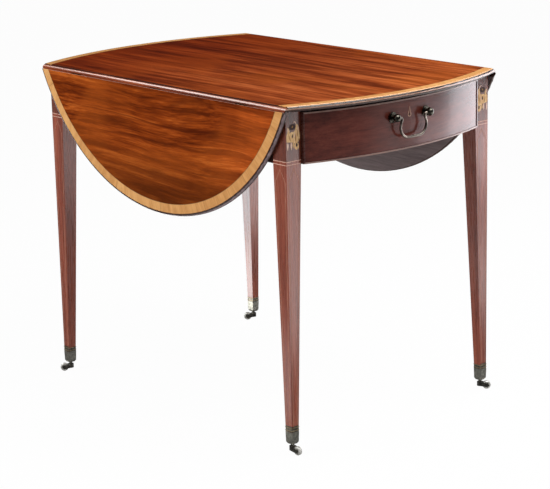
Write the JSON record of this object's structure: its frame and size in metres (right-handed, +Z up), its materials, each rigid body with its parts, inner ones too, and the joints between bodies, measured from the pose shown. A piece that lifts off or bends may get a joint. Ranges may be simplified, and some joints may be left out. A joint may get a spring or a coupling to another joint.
{
  "type": "pembroke table",
  "caption": "Oval drop-leaf pembroke table with rule-jointed leaves on fly brackets, a bow-front drawer, square tapered legs and brass cup castors.",
  "frame": {"origin": "on the floor, under the middle of the top", "axes": "+Z up, +Y along the hinge lines away from the drawer end, +X across the table to the right leaf seen from the drawer end"},
  "size_m": [0.608, 0.924, 0.715],
  "materials": {
    "top_mahogany": "french polished, streaky figure along the hinge lines",
    "satinwood": "french polished crossbanding, grain across the band",
    "leg_mahogany": "french polished, upright grain with boxwood stringing",
    "frieze_mahogany": "french polished veneer, dark",
    "bead": "polished bead",
    "carcase_oak": "bare, toned with age",
    "escutcheon": "inlaid boxwood, polished over",
    "handle_brass": "dark patina, rubbed bright on the high spots",
    "castor_brass": "dull olive patina",
    "fitting_brass": "dull",
    "steel": "dark, lightly rusted"
  },
  "bodies": {
    "frame": {"top_board": "top_mahogany", "top_crossbanding": "satinwood", "top_hinge_plates": "fitting_brass", "hinge_pins": "steel", "top_screws": "steel", "front_left_leg": "leg_mahogany", "front_right_leg": "leg_mahogany", "back_left_leg": "leg_mahogany", "back_right_leg": "leg_mahogany", "left_side_rail": "carcase_oak", "left_fly_rail": "carcase_oak", "left_drawer_runner": "carcase_oak", "left_drawer_kicker": "carcase_oak", "right_side_rail": "carcase_oak", "right_fly_rail": "carcase_oak", "right_drawer_runner": "carcase_oak", "right_drawer_kicker": "carcase_oak", "fly_bracket_pins": "steel", "drawer_blade": "carcase_oak", "drawer_top_rail": "carcase_oak", "drawer_lip": "frieze_mahogany", "castor_cups": "castor_brass", "back_frieze": "frieze_mahogany", "back_cock_bead": "bead", "back_handle_posts": "handle_brass", "back_handle_nuts": "handle_brass", "back_escutcheon": "escutcheon"},
    "left_leaf": {"left_leaf": "top_mahogany", "left_leaf_crossbanding": "satinwood", "left_leaf_hinge_plates": "fitting_brass"},
    "right_leaf": {"right_leaf": "top_mahogany", "right_leaf_crossbanding": "satinwood", "right_leaf_hinge_plates": "fitting_brass"},
    "left_fly_bracket": {"left_fly_bracket": "carcase_oak"},
    "right_fly_bracket": {"right_fly_bracket": "carcase_oak"},
    "drawer": {"drawer_front": "frieze_mahogany", "drawer_cock_bead": "bead", "drawer_left_side": "carcase_oak", "drawer_right_side": "carcase_oak", "drawer_back": "carcase_oak", "drawer_bottom": "carcase_oak", "drawer_lock": "fitting_brass", "drawer_handle_posts": "handle_brass", "drawer_handle_nuts": "handle_brass", "drawer_escutcheon": "escutcheon"},
    "drawer_handle": {"drawer_handle": "handle_brass"},
    "back_handle": {"back_handle": "handle_brass"},
    "front_left_castor": {"front_left_castor_horn": "castor_brass", "front_left_castor_axle": "castor_brass"},
    "front_left_castor_wheel": {"front_left_castor_wheel": "castor_brass"},
    "front_right_castor": {"front_right_castor_horn": "castor_brass", "front_right_castor_axle": "castor_brass"},
    "front_right_castor_wheel": {"front_right_castor_wheel": "castor_brass"},
    "back_left_castor": {"back_left_castor_horn": "castor_brass", "back_left_castor_axle": "castor_brass"},
    "back_left_castor_wheel": {"back_left_castor_wheel": "castor_brass"},
    "back_right_castor": {"back_right_castor_horn": "castor_brass", "back_right_castor_axle": "castor_brass"},
    "back_right_castor_wheel": {"back_right_castor_wheel": "castor_brass"}
  },
  "joints": [
    {"name": "left_leaf_hinge", "type": "hinge", "parent": "frame", "child": "left_leaf", "pos_m": [-0.294, 0, 0.705], "axis": [0, 1, 0], "range_deg": [0, 91.1]},
    {"name": "right_leaf_hinge", "type": "hinge", "parent": "frame", "child": "right_leaf", "pos_m": [0.294, 0, 0.705], "axis": [0, -1, 0], "range_deg": [0, 91.1]},
    {"name": "left_fly_bracket_hinge", "type": "hinge", "parent": "frame", "child": "left_fly_bracket", "pos_m": [-0.2755, -0.08, 0.6475], "axis": [0, 0, 1], "range_deg": [0, 2.5]},
    {"name": "right_fly_bracket_hinge", "type": "hinge", "parent": "frame", "child": "right_fly_bracket", "pos_m": [0.2755, -0.08, 0.6475], "axis": [0, 0, -1], "range_deg": [0, 2.5]},
    {"name": "drawer_slide", "type": "slide", "parent": "frame", "child": "drawer", "axis": [0, -1, 0], "range_m": [0, 0.4]},
    {"name": "drawer_handle_swing", "type": "hinge", "parent": "drawer", "child": "drawer_handle", "pos_m": [0, -0.44948, 0.664], "axis": [-1, 0, 0], "range_deg": [0, 110]},
    {"name": "back_handle_swing", "type": "hinge", "parent": "frame", "child": "back_handle", "pos_m": [0, 0.44948, 0.664], "axis": [1, 0, 0], "range_deg": [0, 110]},
    {"name": "front_left_castor_swivel", "type": "hinge", "parent": "frame", "child": "front_left_castor", "pos_m": [-0.28075, -0.37875, 0.022], "axis": [0, 0, 1], "continuous": true},
    {"name": "front_left_castor_wheel_spin", "type": "hinge", "parent": "front_left_castor", "child": "front_left_castor_wheel", "pos_m": [-0.27949, -0.3932, 0.009], "axis": [0.9962, 0.0872, 0], "continuous": true},
    {"name": "front_right_castor_swivel", "type": "hinge", "parent": "frame", "child": "front_right_castor", "pos_m": [0.28075, -0.37875, 0.022], "axis": [0, 0, 1], "continuous": true},
    {"name": "front_right_castor_wheel_spin", "type": "hinge", "parent": "front_right_castor", "child": "front_right_castor_wheel", "pos_m": [0.29169, -0.38826, 0.009], "axis": [0.6561, 0.7547, 0], "continuous": true},
    {"name": "back_left_castor_swivel", "type": "hinge", "parent": "frame", "child": "back_left_castor", "pos_m": [-0.28075, 0.37875, 0.022], "axis": [0, 0, 1], "continuous": true},
    {"name": "back_left_castor_wheel_spin", "type": "hinge", "parent": "back_left_castor", "child": "back_left_castor_wheel", "pos_m": [-0.29169, 0.38826, 0.009], "axis": [-0.6561, -0.7547, 0], "continuous": true},
    {"name": "back_right_castor_swivel", "type": "hinge", "parent": "frame", "child": "back_right_castor", "pos_m": [0.28075, 0.37875, 0.022], "axis": [0, 0, 1], "continuous": true},
    {"name": "back_right_castor_wheel_spin", "type": "hinge", "parent": "back_right_castor", "child": "back_right_castor_wheel", "pos_m": [0.26981, 0.38826, 0.009], "axis": [-0.6561, -0.7547, 0], "continuous": true}
  ]
}
